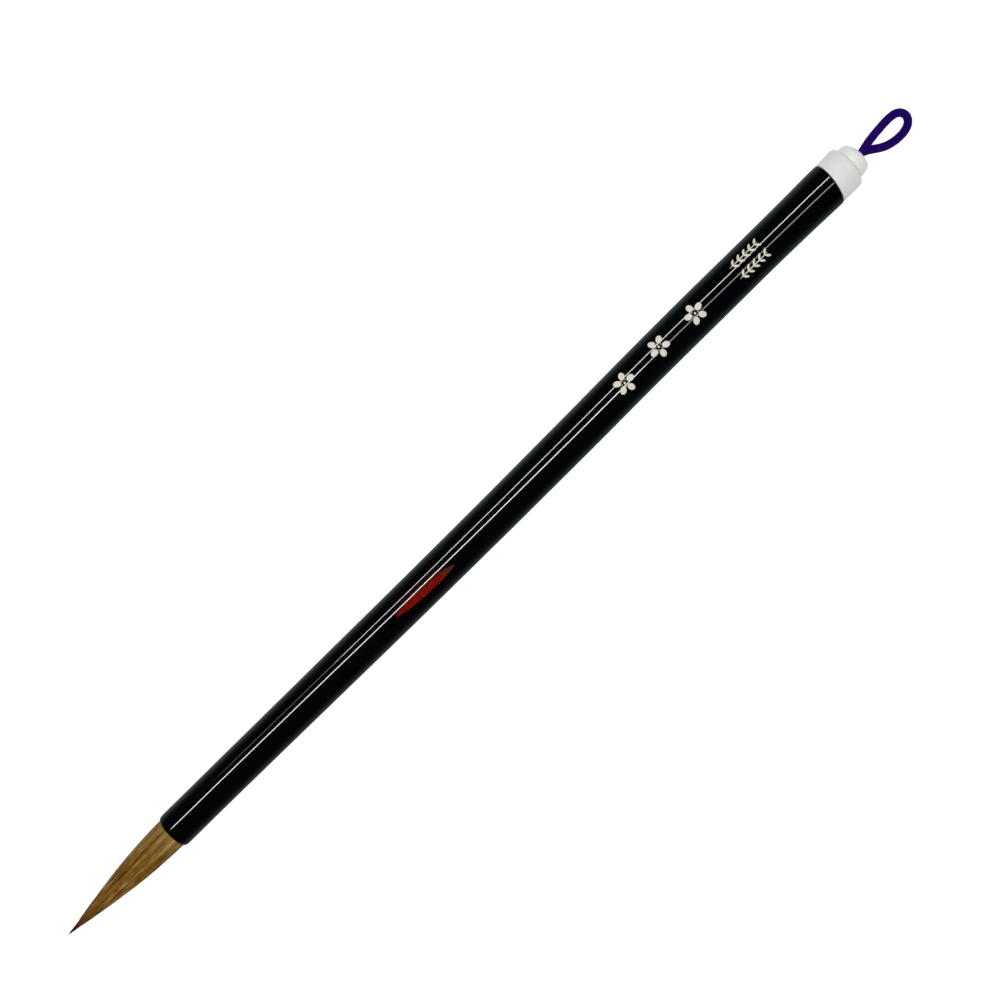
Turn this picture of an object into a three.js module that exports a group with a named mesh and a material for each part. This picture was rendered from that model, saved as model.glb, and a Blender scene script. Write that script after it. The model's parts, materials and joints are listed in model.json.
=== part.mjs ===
// Calligraphy brush: a lacquered bamboo handle with a bound hair tuft glued into its mouth, and a
// moulded end cap that holds a knotted hanging loop of braided cord.
//
// Millimetres, +Z up. The brush lies on its side with its axis along X, tuft towards -X, and rests
// on the underside of its handle. The origin is on the resting plane, midway along the brush
// without its cord.
//
// The brush is built standing on its tuft, as lathe work is: +Y runs up the axis from the handle's
// mouth at zero to the cap, and +Z is the side that faces up once the brush is laid down.
import * as THREE from "three";

// --- Driving dimensions ---------------------------------------------------------------------

const FIT_GAP = 0.05; // between pieces that touch
const SIDES = 24; // facets round a turned piece

const HANDLE = {
  length: 197.5,
  mouthRadius: 4.18,
  capRadius: 4.9,
  lipHeight: 1.1, // the rounded edge of the mouth, along the axis
  lipDepth: 0.35, // and across it
  boreRadius: 2.2, // the bamboo's own hollow
  socketRadius: 3.75, // reamed for the tuft
  seatRadius: 3.7, // reamed for the cap
  reamedDepth: 9, // of the socket and of the seat
};

const TUFT = {
  length: 32.7, // from the mouth to the point
  radius: 3.6, // at the mouth
  fullness: 1.9, // a higher power keeps the belly full for longer
  sharpness: 1.37, // a higher power draws a finer point
  rootDepth: 7.2, // how far the bound root goes into the socket
  rootRadius: 3.0,
  coreRadius: 1.5,
  coverLength: 20, // how far out the cover hair still lies over the core
  coverEdge: 0.12, // the cover's thickness where it ends
  bendAt: 7, // the hair bends about this point outside the mouth
  bendLimit: 45, // degrees to either side
  bendGap: 0.25, // left in the cup at the limit
};

const THREAD = { radius: 0.17, turns: 6, pitch: 0.42, start: 3.4 };
const SEAL = { thickness: 1, edge: 0.25 };
const GLUE = { innerRadius: 3.35, rim: 1.3 };

const CAP = {
  collarLength: 5.8,
  footRadius: 4.82, // the collar flares from its foot to its shoulder
  collarRadius: 4.9,
  shoulder: 1.15, // rounding of the collar's upper edge
  knobLength: 3,
  knobRadius: 3.72,
  dome: 1.75, // rounding of the knob's end
  spigotRadius: 3.62,
  spigotLength: 8,
  grooveDepth: 0.3, // round the spigot, for the adhesive
  grooveLength: 3,
  hollowRadius: 2.75, // holds the cord's knot
  holeRadius: 1.8,
  holeLength: 3.2,
};

const CORD = {
  radius: 0.8,
  sides: 8,
  steps: 40,
  strandOffset: 0.87, // the two strands leave the cap one above the other
  neckReach: 0.4, // how far the fixed strands stand out of the cap
  knotRadius: 2.6,
  knotLength: 5.6,
};

// The loop's centreline: [out from the cap, sideways, up from the axis]. It leaves along the axis
// and opens in a slanting plane: one side stays up, and the other sags to the surface that the
// brush rests on.
const LOOP_ROUTE = [
  [1.3, -0.2, 0.87],
  [2.2, -0.37, 0.86],
  [3.3, -0.6, 0.82],
  [5.2, -0.86, 0.72],
  [7.4, -1.04, 0.57],
  [9.25, -1.14, 0.43],
  [10.85, -1.07, 0.33],
  [12.05, -0.77, 0.06],
  [13, -0.15, -0.52],
  [13.6, 0.65, -1.28],
  [13.8, 1.5, -2.1],
  [13.48, 2.33, -2.9],
  [12.7, 2.95, -3.52],
  [11.45, 3.28, -3.93],
  [9.7, 3.3, -4.08],
  [7.85, 3.02, -3.85],
  [6.1, 2.47, -3.2],
  [4.6, 1.82, -2.35],
  [3.2, 1.08, -1.55],
  [2.2, 0.56, -1.1],
  [1.3, 0.16, -0.9],
];

// --- Shared builders ------------------------------------------------------------------------

// A turned piece's facets touch its true radius at their middles.
const FACET_SCALE = 1 / Math.cos(Math.PI / SIDES);

const finish = (color, roughness) =>
  new THREE.MeshStandardMaterial({ color, roughness, metalness: 0 });

function named(name, geometry, material) {
  const mesh = new THREE.Mesh(geometry, material);
  mesh.name = name;
  return mesh;
}

// A solid of revolution. The outline's [radius, height] points run up the outside, and come back
// to the axis or down the inside.
function turned(name, outline, material) {
  const points = outline.map(([r, y]) => new THREE.Vector2(r * FACET_SCALE, y));
  if (outline[0][0] > 0) points.push(points[0].clone());
  return named(name, new THREE.LatheGeometry(points, SIDES, Math.PI / SIDES), material);
}

// Outline points on a circle round (r, y), from one angle to another in degrees.
function arc(r, y, radius, from, to, steps) {
  return Array.from({ length: steps + 1 }, (_, i) => {
    const angle = THREE.MathUtils.degToRad(from + ((to - from) * i) / steps);
    return [r + radius * Math.cos(angle), y + radius * Math.sin(angle)];
  });
}

// A solid of constant round section along a curve.
function tube(name, path, steps, radius, sides, material) {
  const section = new THREE.Shape();
  for (let i = 0; i < sides; i++) {
    const angle = (2 * Math.PI * i) / sides;
    section[i ? "lineTo" : "moveTo"](radius * Math.cos(angle), radius * Math.sin(angle));
  }
  const geometry = new THREE.ExtrudeGeometry(section, { steps, extrudePath: path });
  return named(name, geometry, material);
}

// --- Handle ---------------------------------------------------------------------------------

function handleTube() {
  const { length, mouthRadius, capRadius, lipHeight, lipDepth } = HANDLE;
  const { boreRadius, socketRadius, seatRadius, reamedDepth } = HANDLE;
  const lip = arc(0, 0, 1, -90, 0, 4).map(([across, along]) => [
    mouthRadius + (across - 1) * lipDepth,
    (along + 1) * lipHeight,
  ]);
  return turned(
    "handle_tube",
    [
      [socketRadius, 0],
      ...lip,
      [capRadius, length],
      [seatRadius, length],
      [seatRadius, length - reamedDepth],
      [boreRadius, length - reamedDepth],
      [boreRadius, reamedDepth],
      [socketRadius, reamedDepth],
    ],
    finish(0x07070a, 0.12),
  );
}

// --- Tuft -----------------------------------------------------------------------------------

const HAIR_FINISH = {
  cover: finish(0x9a6f38, 0.7),
  core: finish(0x6d431f, 0.7),
};

// The tuft's radius at a distance u outside the mouth.
const tuftRadius = (u) =>
  TUFT.radius * (1 - (u / TUFT.length) ** TUFT.fullness) ** TUFT.sharpness;

// The tuft's surface between two distances outside the mouth, as outline points that run up.
const tuftSurface = (far, near, steps) =>
  Array.from({ length: steps + 1 }, (_, i) => {
    const u = far + ((near - far) * i) / steps;
    return [tuftRadius(u), -u];
  });

// The hair is one bundle that flexes. As solids it is cut where it bends: the outer part turns as
// a ball in a cup that the rooted part forms.
const BALL_RADIUS = tuftRadius(TUFT.bendAt);
const HALF_BEND = THREE.MathUtils.degToRad(TUFT.bendLimit / 2);
const CUP_RADIUS = BALL_RADIUS / Math.cos(HALF_BEND) + TUFT.bendGap;
const COVER_BORE = TUFT.coreRadius + FIT_GAP;

const degreesAt = (r, radius) => THREE.MathUtils.radToDeg(Math.acos(r / radius));

// The angle, up from the bend's level, at which the cup comes out through the tuft's surface.
function cupRimAngle() {
  let angle = 0;
  for (let i = 0; i < 20; i++) {
    const u = TUFT.bendAt - CUP_RADIUS * Math.sin(THREE.MathUtils.degToRad(angle));
    angle = degreesAt(tuftRadius(u), CUP_RADIUS);
  }
  return angle;
}

// Where the thread is wound, the root is drawn in by the thread's own thickness.
const WAIST_RADIUS = TUFT.rootRadius - THREAD.radius;

function outerHairRoot() {
  const rimAngle = cupRimAngle();
  const boreAngle = degreesAt(COVER_BORE, CUP_RADIUS);
  const rimAt = TUFT.bendAt - CUP_RADIUS * Math.sin(THREE.MathUtils.degToRad(rimAngle));
  const threadEnd = THREAD.start + THREAD.turns * THREAD.pitch;
  const slope = 0.3; // the root eases into its waist over this length
  return turned(
    "outer_hair_root",
    [
      ...arc(0, -TUFT.bendAt, CUP_RADIUS, boreAngle, rimAngle, 4),
      ...tuftSurface(rimAt, 0, 3).slice(1),
      [TUFT.rootRadius, THREAD.start / 2],
      [WAIST_RADIUS, THREAD.start - slope],
      [WAIST_RADIUS, threadEnd + slope],
      [TUFT.rootRadius, TUFT.rootDepth],
      [COVER_BORE, TUFT.rootDepth],
    ],
    HAIR_FINISH.cover,
  );
}

function coreHairRoot() {
  const bottom = CUP_RADIUS - TUFT.bendAt;
  return turned(
    "core_hair_root",
    [
      [0, bottom],
      [TUFT.coreRadius, bottom],
      [TUFT.coreRadius, TUFT.rootDepth],
      [0, TUFT.rootDepth],
    ],
    HAIR_FINISH.core,
  );
}

// The core's radius under the end of the cover hair.
const COVERED_CORE = tuftRadius(TUFT.coverLength) - TUFT.coverEdge - FIT_GAP;

function outerHairTip() {
  return turned(
    "outer_hair_tip",
    [
      [COVERED_CORE + FIT_GAP, -TUFT.coverLength],
      ...tuftSurface(TUFT.coverLength, TUFT.bendAt, 6),
      ...arc(0, -TUFT.bendAt, BALL_RADIUS, 0, degreesAt(COVER_BORE, BALL_RADIUS), 5).slice(1),
      [COVER_BORE, -TUFT.bendAt],
    ],
    HAIR_FINISH.cover,
  );
}

function coreHairTip() {
  const top = Math.sqrt(BALL_RADIUS ** 2 - TUFT.coreRadius ** 2) - TUFT.bendAt;
  const coverEnd = TUFT.coverLength + FIT_GAP;
  return turned(
    "core_hair_tip",
    [
      ...tuftSurface(TUFT.length, coverEnd, 7),
      [COVERED_CORE, -coverEnd],
      [TUFT.coreRadius, -TUFT.bendAt],
      [TUFT.coreRadius, top],
      [0, top],
    ],
    HAIR_FINISH.core,
  );
}

function bindingThread() {
  const stepsPerTurn = 16;
  const clearance = 0.12; // the turns are chords, which dip towards the hair between their ends
  const helixRadius = WAIST_RADIUS * FACET_SCALE + THREAD.radius + clearance;
  const steps = THREAD.turns * stepsPerTurn;
  const points = Array.from({ length: steps + 1 }, (_, i) => {
    const angle = (2 * Math.PI * i) / stepsPerTurn;
    const height = THREAD.start + (THREAD.pitch * i) / stepsPerTurn;
    return new THREE.Vector3().setFromCylindricalCoords(helixRadius, angle, height);
  });
  const path = new THREE.CatmullRomCurve3(points);
  return tube("binding_thread", path, steps, THREAD.radius, 6, finish(0xd9cfb8, 0.8));
}

function rootSeal() {
  const bottom = TUFT.rootDepth + FIT_GAP;
  const top = bottom + SEAL.thickness;
  return turned(
    "root_seal",
    [
      [0, bottom],
      [TUFT.rootRadius, bottom],
      [TUFT.rootRadius, top - SEAL.edge],
      [TUFT.rootRadius - SEAL.edge, top],
      [0, top],
    ],
    finish(0x5a3414, 0.35),
  );
}

function glueBed() {
  const wall = HANDLE.socketRadius - FIT_GAP;
  const floor = HANDLE.reamedDepth - FIT_GAP;
  const underside = TUFT.rootDepth + SEAL.thickness + 2 * FIT_GAP;
  const lip = wall - GLUE.innerRadius;
  return turned(
    "glue_bed",
    [
      [0, underside],
      [GLUE.innerRadius, underside],
      [GLUE.innerRadius, GLUE.rim + lip],
      [wall, GLUE.rim],
      [wall, floor],
      [0, floor],
    ],
    finish(0xd8c48e, 0.45),
  );
}

// --- End cap --------------------------------------------------------------------------------

const COLLAR_FOOT = HANDLE.length + FIT_GAP;
const KNOB_FOOT = COLLAR_FOOT + CAP.collarLength;
const KNOB_END = KNOB_FOOT + CAP.knobLength;
const HOLLOW_ROOF = KNOB_END - CAP.holeLength;

const SPIGOT_FOOT = HANDLE.length - CAP.spigotLength;
const GROOVE_FOOT = SPIGOT_FOOT + (CAP.spigotLength - CAP.grooveLength) / 2;
const GROOVE_RADIUS = CAP.spigotRadius - CAP.grooveDepth;

function endCap() {
  const { footRadius, collarRadius, shoulder, knobRadius, dome } = CAP;
  const { spigotRadius, holeRadius, hollowRadius } = CAP;
  const edge = 0.2; // broken edges
  return turned(
    "end_cap",
    [
      [hollowRadius, SPIGOT_FOOT],
      [spigotRadius - edge, SPIGOT_FOOT],
      [spigotRadius, SPIGOT_FOOT + edge],
      [spigotRadius, GROOVE_FOOT],
      [GROOVE_RADIUS, GROOVE_FOOT],
      [GROOVE_RADIUS, GROOVE_FOOT + CAP.grooveLength],
      [spigotRadius, GROOVE_FOOT + CAP.grooveLength],
      [spigotRadius, COLLAR_FOOT],
      [footRadius, COLLAR_FOOT],
      ...arc(collarRadius - shoulder, KNOB_FOOT - shoulder, shoulder, 0, 90, 5),
      [knobRadius - edge, KNOB_FOOT],
      [knobRadius, KNOB_FOOT + edge],
      ...arc(knobRadius - dome, KNOB_END - dome, dome, 0, 90, 6),
      [holeRadius, KNOB_END],
      [holeRadius, HOLLOW_ROOF],
      [hollowRadius, HOLLOW_ROOF],
    ],
    finish(0xe6e7e2, 0.4),
  );
}

function capGlue() {
  const inner = GROOVE_RADIUS + FIT_GAP;
  const outer = HANDLE.seatRadius - FIT_GAP / 2;
  const foot = GROOVE_FOOT + FIT_GAP;
  const top = GROOVE_FOOT + CAP.grooveLength - FIT_GAP;
  return turned(
    "cap_glue",
    [
      [inner, foot],
      [outer, foot],
      [outer, top],
      [inner, top],
    ],
    finish(0xd8c48e, 0.45),
  );
}

// --- Hanging loop ---------------------------------------------------------------------------

const CORD_FINISH = finish(0x2c0c78, 0.85);

function hangingLoop() {
  const points = LOOP_ROUTE.map(
    ([out, sideways, up]) => new THREE.Vector3(sideways, KNOB_END + out, up),
  );
  const path = new THREE.CatmullRomCurve3(points, false, "centripetal");
  return tube("hanging_loop", path, CORD.steps, CORD.radius, CORD.sides, CORD_FINISH);
}

// The two strands through the cap's hole, one above the other, in their common outline.
function loopNeck() {
  const { radius, strandOffset } = CORD;
  const outline = new THREE.Shape();
  outline.absarc(0, strandOffset, radius, 0, Math.PI);
  outline.absarc(0, -strandOffset, radius, Math.PI, 2 * Math.PI);
  const depth = CAP.holeLength + CORD.neckReach;
  const geometry = new THREE.ExtrudeGeometry(outline, {
    depth,
    bevelEnabled: false,
    curveSegments: 6,
  });
  const neck = named("loop_neck", geometry, CORD_FINISH);
  neck.rotation.x = -Math.PI / 2;
  neck.position.y = HOLLOW_ROOF;
  return neck;
}

// The outer shape of the knot that ties the strands under the cap's hole.
function loopKnot() {
  const half = CORD.knotLength / 2;
  const middle = HOLLOW_ROOF - FIT_GAP - half;
  const crown = CAP.holeRadius; // the flat that bears on the cap
  const edge = CORD.knotRadius - crown;
  return turned(
    "loop_knot",
    [
      [0, middle - half],
      ...arc(crown, middle - half + edge, edge, -90, 0, 3),
      ...arc(crown, middle + half - edge, edge, 0, 90, 3),
      [0, middle + half],
    ],
    CORD_FINISH,
  );
}

// --- Assembly -------------------------------------------------------------------------------

const standing = new THREE.Group();
standing.add(
  handleTube(),
  outerHairRoot(),
  coreHairRoot(),
  outerHairTip(),
  coreHairTip(),
  bindingThread(),
  rootSeal(),
  glueBed(),
  endCap(),
  capGlue(),
  hangingLoop(),
  loopNeck(),
  loopKnot(),
);
standing.rotation.z = -Math.PI / 2; // lays the axis along +X

// The handle is thinner at its mouth, so the axis rises towards the cap by the taper's angle, and
// the underside lies flat on the surface.
const taper = Math.atan(
  (HANDLE.capRadius - HANDLE.mouthRadius) / (HANDLE.length - HANDLE.lipHeight),
);
const brush = new THREE.Group();
brush.add(standing);
brush.rotation.y = -taper;
brush.position.set(
  ((TUFT.length - KNOB_END) / 2) * Math.cos(taper),
  0,
  HANDLE.mouthRadius * Math.cos(taper) - HANDLE.lipHeight * Math.sin(taper),
);

export default brush;
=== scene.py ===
"""The calligraphy brush's looks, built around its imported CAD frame. Metres, +Z up.

Shapes are worked out in brush space: millimetres, with x along the axis from the handle's mouth
towards the cap, y sideways and z up. BRUSH takes them to the frame. A turn about the axis is
counted from the top towards -y.
"""

import json
import math
import random

import bmesh
import bpy
import numpy as np
from mathutils import Matrix, Vector


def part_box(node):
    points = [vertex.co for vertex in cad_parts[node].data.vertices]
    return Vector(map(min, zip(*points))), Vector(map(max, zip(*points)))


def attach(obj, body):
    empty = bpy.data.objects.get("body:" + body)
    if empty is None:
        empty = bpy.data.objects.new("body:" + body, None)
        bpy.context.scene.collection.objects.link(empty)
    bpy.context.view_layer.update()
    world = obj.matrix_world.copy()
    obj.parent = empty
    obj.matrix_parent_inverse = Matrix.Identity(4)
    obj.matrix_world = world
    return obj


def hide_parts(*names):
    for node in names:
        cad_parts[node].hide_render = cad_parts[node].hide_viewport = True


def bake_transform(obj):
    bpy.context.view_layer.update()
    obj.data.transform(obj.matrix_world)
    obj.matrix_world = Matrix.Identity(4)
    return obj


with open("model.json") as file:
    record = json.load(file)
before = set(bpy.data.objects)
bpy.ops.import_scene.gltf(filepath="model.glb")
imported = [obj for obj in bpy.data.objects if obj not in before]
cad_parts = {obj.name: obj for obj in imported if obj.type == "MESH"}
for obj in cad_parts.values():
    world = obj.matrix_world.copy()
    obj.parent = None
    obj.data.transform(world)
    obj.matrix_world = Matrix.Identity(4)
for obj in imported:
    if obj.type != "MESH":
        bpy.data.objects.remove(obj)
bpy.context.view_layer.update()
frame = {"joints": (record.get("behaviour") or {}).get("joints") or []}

# --- Brush space ----------------------------------------------------------------------------

MM = 0.001
BEND_AT = 7.0  # the tuft's pivot is this far outside the mouth

joint_at = {j["name"]: Vector(j["pos_m"]) for j in frame["joints"]}
ALONG = (joint_at["loop_swing"] - joint_at["tuft_bend"]).normalized()
ACROSS = Vector((0, 1, 0))
RISE = ALONG.cross(ACROSS)
MOUTH = joint_at["tuft_bend"] + ALONG * BEND_AT * MM
BRUSH = Matrix.Translation(MOUTH) @ Matrix((ALONG, ACROSS, RISE)).transposed().to_4x4()


def in_frame(x, y=0.0, z=0.0):
    """A point of brush space, in the frame's metres."""
    return BRUSH @ (Vector((x, y, z)) * MM)


def axial(node, end):
    """Where a CAD node starts (end 0) or stops (end 1) along the brush."""
    return (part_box(node)[end] - MOUTH).dot(ALONG) / MM


def radius_of(node):
    """A round CAD node's largest radius, in millimetres."""
    low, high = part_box(node)
    return (high.y - low.y) / 2 / MM


HANDLE_END = axial("handle_tube", 1)
CAP_END = axial("end_cap", 1)
MOUTH_RADIUS = 4.18
HANDLE_END_RADIUS = radius_of("handle_tube")
LIP = 1.1  # the mouth's rounding, along the axis
SOCKET_RADIUS = 3.75  # the reamed hole for the tuft
SEAT_RADIUS = 3.7  # the reamed hole for the cap
BORE_RADIUS = 2.2
REAMED_DEPTH = 9.0
END_SLANT = 0.6  # how far out of square the joint with the cap is

# --- Camera ---------------------------------------------------------------------------------

IMAGE_TILT = 44.6  # degrees that the brush's axis rises across the view
LENS = 58.3
CAMERA_HEIGHT = 0.347  # above the brush's axis
AIM = (99.9, 1.4)  # the point of the brush that the camera is over


def add_camera():
    data = bpy.data.cameras.new("camera")
    data.lens = LENS
    camera = bpy.data.objects.new("camera", data)
    camera.location = in_frame(*AIM) + Vector((0, 0, CAMERA_HEIGHT))
    camera.rotation_euler = (0, 0, -math.radians(IMAGE_TILT))
    bpy.context.scene.collection.objects.link(camera)
    bpy.context.scene.camera = camera


# --- Mesh building --------------------------------------------------------------------------


class Build:
    """Shells gathered into one mesh: points in brush space, faces, and a UV for each point."""

    def __init__(self):
        self.points, self.uvs, self.faces, self.slots = [], [], [], []
        self.count = 0

    def add(self, points, faces, uvs, slots=0):
        self.points.append(np.asarray(points, float).reshape(-1, 3))
        self.uvs.append(np.asarray(uvs, float).reshape(-1, 2))
        self.faces += [[i + self.count for i in face] for face in faces]
        self.slots += list(slots) if hasattr(slots, "__len__") else [slots] * len(faces)
        self.count += len(self.points[-1])

    def write_uvs(self, mesh):
        corners = np.zeros(len(mesh.loops), np.int32)
        mesh.loops.foreach_get("vertex_index", corners)
        uvs = np.vstack(self.uvs)[corners]
        starts = np.zeros(len(mesh.polygons), np.int32)
        mesh.polygons.foreach_get("loop_start", starts)
        span = np.maximum.reduceat(uvs[:, 0], starts) - np.minimum.reduceat(uvs[:, 0], starts)
        crosses = np.repeat(span > 0.5, np.diff(np.append(starts, len(corners))))
        uvs[crosses & (uvs[:, 0] < 0), 0] += 1  # a face across the seam is one turn on
        layer = mesh.uv_layers.new(name="surface")
        layer.data.foreach_set("uv", uvs.astype(np.float32).ravel())

    def piece(self, name, *materials, sharp=None):
        """The gathered shells as one smooth-shaded object, in the frame."""
        mesh = bpy.data.meshes.new(name)
        mesh.from_pydata((np.vstack(self.points) * MM).tolist(), [], self.faces)
        mesh.transform(BRUSH)
        for material in materials:
            mesh.materials.append(material)
        mesh.polygons.foreach_set("material_index", self.slots)
        self.write_uvs(mesh)
        faced = bmesh.new()
        faced.from_mesh(mesh)
        bmesh.ops.recalc_face_normals(faced, faces=faced.faces)
        faced.to_mesh(mesh)
        faced.free()
        mesh.shade_smooth()
        if sharp:
            mesh.set_sharp_from_angle(angle=math.radians(sharp))
        made = bpy.data.objects.new(name, mesh)
        bpy.context.scene.collection.objects.link(made)
        return made


def around(x, radius, turn):
    """Points at a radius and a turn about the axis."""
    x, radius, turn = np.broadcast_arrays(x, radius, turn)
    return np.stack([x, -radius * np.sin(turn), radius * np.cos(turn)], axis=-1)


def arc(x, r, radius, start, stop, steps, squash=1.0):
    """Outline points on a circle round (x, r), or an ellipse that is squash times as deep. Angles
    are in degrees, from +x towards +r."""
    turns = np.radians(np.linspace(start, stop, steps + 1))
    return [(x + radius * math.cos(a), r + radius * squash * math.sin(a)) for a in turns]


def turned(build, outline, sides=128, slots=0, shape=None, slide=None):
    """Adds a solid of revolution. The outline's (x, r) points start and end on the axis, or close
    on themselves. shape(x, turn, r) changes the radii, and slide(x, turn, r) the places along
    the axis. slots can be one for each outline point."""
    outline = np.asarray(outline, float)
    turns = np.linspace(-math.pi, math.pi, sides, endpoint=False)
    x, r = outline[:, :1], outline[:, 1:]
    radii = np.broadcast_to(r, (len(outline), sides)) if shape is None else shape(x, turns, r)
    grid = around(x if slide is None else slide(x, turns, r), radii, turns)
    on_axis = outline[:, 1] < 1e-9
    points, uvs, index = [], [], []
    for i, ring in enumerate(grid):
        used = ring[:1] if on_axis[i] else ring
        index.append([len(points) + (0 if on_axis[i] else k) for k in range(sides)])
        points.extend(used)
        uvs += [(turn / (2 * math.pi), outline[i, 0] / HANDLE_END) for turn in turns[: len(used)]]
    faces, face_slots = [], []
    spans = len(outline) - 1 if on_axis[0] and on_axis[-1] else len(outline)
    for i in range(spans):
        low, high = index[i], index[(i + 1) % len(outline)]
        for k in range(sides):
            n = (k + 1) % sides
            corners = [low[k], high[k], high[n], low[n]]
            face = [c for j, c in enumerate(corners) if c != corners[j - 1]]
            if len(face) > 2:
                faces.append(face)
                face_slots.append(slots[i] if hasattr(slots, "__len__") else slots)
    build.add(points, faces, uvs, face_slots)


def tube(build, line, wide, thick, sides, out=None, u=0.0, v=None, looped=False):
    """Adds a solid tube along a line. wide and thick are its half sizes, which may change along
    it, and out is the way that the thick side faces at each step. A looped one has no ends."""
    if looped:
        tangent = np.roll(line, -1, axis=0) - np.roll(line, 1, axis=0)
    else:
        tangent = np.gradient(line, axis=0)
    tangent /= np.linalg.norm(tangent, axis=1)[:, None]
    if out is None:
        out = carried_across(tangent)
    up = out - tangent * np.sum(out * tangent, axis=1)[:, None]
    up /= np.linalg.norm(up, axis=1)[:, None]
    side = np.cross(up, tangent)
    turns = np.linspace(0.5 * math.pi, 2.5 * math.pi, sides, endpoint=False)
    wide = np.broadcast_to(np.asarray(wide, float), len(line))[:, None, None]
    thick = np.broadcast_to(np.asarray(thick, float), len(line))[:, None, None]
    points = (
        line[:, None]
        + side[:, None] * wide * np.cos(turns)[None, :, None]
        + up[:, None] * thick * np.sin(turns)[None, :, None]
    )
    count = len(line) * sides
    faces = [] if looped else [tuple(range(sides)), tuple(range(count - sides, count))]
    for low in range(0, count if looped else count - sides, sides):
        high = (low + sides) % count
        for k in range(sides):
            n = (k + 1) % sides
            faces.append((low + k, low + n, high + n, high + k))
    v = np.linspace(0, 1, len(line)) if v is None else v
    build.add(points, faces, np.stack([np.full(count, u), np.repeat(v, sides)], 1))


def carried_across(tangent):
    """Unit vectors across a line, carried along it without twisting."""
    side = np.cross(tangent[0], (0, 0, 1.0))
    if np.linalg.norm(side) < 1e-6:
        side = np.array((0, 1.0, 0))
    carried = []
    for t in tangent:
        side = side - t * (side @ t)
        side /= np.linalg.norm(side)
        carried.append(side)
    return np.array(carried)


def smooth_route(route, per_span=12):
    """A centripetal Catmull-Rom curve through the route's points."""
    p = np.asarray(route, float)
    p = np.vstack([2 * p[0] - p[1], p, 2 * p[-1] - p[-2]])
    made = []
    for a, b, c, d in zip(p, p[1:], p[2:], p[3:]):
        t1 = np.linalg.norm(b - a) ** 0.5
        t2 = t1 + np.linalg.norm(c - b) ** 0.5
        t3 = t2 + np.linalg.norm(d - c) ** 0.5
        for t in np.linspace(t1, t2, per_span, endpoint=False):
            ab = a + (b - a) * t / t1
            bc = b + (c - b) * (t - t1) / (t2 - t1)
            cd = c + (d - c) * (t - t2) / (t3 - t2)
            abc = ab + (bc - ab) * t / t2
            bcd = bc + (cd - bc) * (t - t1) / (t3 - t1)
            made.append(abc + (bcd - abc) * (t - t1) / (t2 - t1))
    made.append(p[-2])
    return np.array(made)


def evenly(line, step):
    """The line resampled at about equal steps, and each point's distance along it."""
    reach = np.append(0, np.cumsum(np.linalg.norm(np.diff(line, axis=0), axis=1)))
    at = np.linspace(0, reach[-1], round(reach[-1] / step) + 1)
    return np.stack([np.interp(at, reach, line[:, k]) for k in range(3)], axis=1), at


def smoothstep(a, b, x):
    t = np.clip((np.asarray(x, float) - a) / (b - a), 0, 1)
    return t * t * (3 - 2 * t)


# --- Materials ------------------------------------------------------------------------------


class Nodes:
    """A node tree, and short ways to add to it."""

    def __init__(self, owner):
        owner.use_nodes = True
        self.nodes = owner.node_tree.nodes
        self.links = owner.node_tree.links

    def node(self, kind, inputs=(), **settings):
        made = self.nodes.new("ShaderNode" + kind)
        for key, value in settings.items():
            setattr(made, key, value)
        for key, value in dict(inputs).items():
            if isinstance(value, bpy.types.NodeSocket):
                self.links.new(value, made.inputs[key])
            else:
                made.inputs[key].default_value = value
        return made

    def place(self, scale=(1, 1, 1), by="Object"):
        """Coordinates scaled for each axis: object space in millimetres, or the surface's UV."""
        if by == "UV":
            source = self.node("UVMap", uv_map="surface").outputs[0]
        else:
            source = self.node("TexCoord").outputs["Object"]
            scale = tuple(s / MM for s in scale)
        return self.node("Mapping", {"Vector": source, "Scale": scale}).outputs[0]

    def noise(self, vector, scale=1.0, detail=2.0, roughness=0.5):
        inputs = {"Vector": vector, "Scale": scale, "Detail": detail, "Roughness": roughness}
        return self.node("TexNoise", inputs).outputs["Fac"]

    def ramp(self, factor, *stops):
        """Colours, or grey levels, at positions along a factor."""
        made = self.node("ValToRGB", {"Fac": factor})
        band = made.color_ramp.elements
        while len(band) < len(stops):
            band.new(1.0)
        for element, (at, colour) in zip(band, stops):
            element.position = at
            grey = not hasattr(colour, "__len__")
            element.color = (colour,) * 3 + (1,) if grey else (*colour, 1)
        return made.outputs[0]

    def mix(self, factor, a, b, blend="MIX"):
        made = self.node("Mix", data_type="RGBA", blend_type=blend)
        for socket, value in zip((made.inputs[0], made.inputs[6], made.inputs[7]), (factor, a, b)):
            if isinstance(value, bpy.types.NodeSocket):
                self.links.new(value, socket)
            else:
                socket.default_value = (*value, 1) if hasattr(value, "__len__") else value
        return made.outputs[2]

    def maths(self, operation, a, b=0.0, clamp=False):
        return self.node("Math", {0: a, 1: b}, operation=operation, use_clamp=clamp).outputs[0]

    def span(self, value, low, high, to_low=0.0, to_high=1.0):
        """value carried smoothly from one range to another."""
        inputs = {0: value, 1: low, 2: high, 3: to_low, 4: to_high}
        return self.node("MapRange", inputs, interpolation_type="SMOOTHSTEP").outputs[0]

    def split(self, vector):
        return self.node("SeparateXYZ", {0: vector}).outputs


class Paint(Nodes):
    """A Principled material. The values given are the same all over its surface."""

    def __init__(self, name, **values):
        self.material = bpy.data.materials.new(name)
        super().__init__(self.material)
        self.shader = self.nodes["Principled BSDF"]
        for key, value in values.items():
            self.socket(key).default_value = value

    def socket(self, key):
        return self.shader.inputs[key.replace("_", " ").title().replace("Ior", "IOR")]

    def drive(self, **sources):
        for key, source in sources.items():
            self.links.new(source, self.socket(key))
        return self

    def bump(self, height, strength, distance):
        inputs = {"Height": height, "Strength": strength, "Distance": distance}
        return self.drive(normal=self.node("Bump", inputs).outputs[0])


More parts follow.
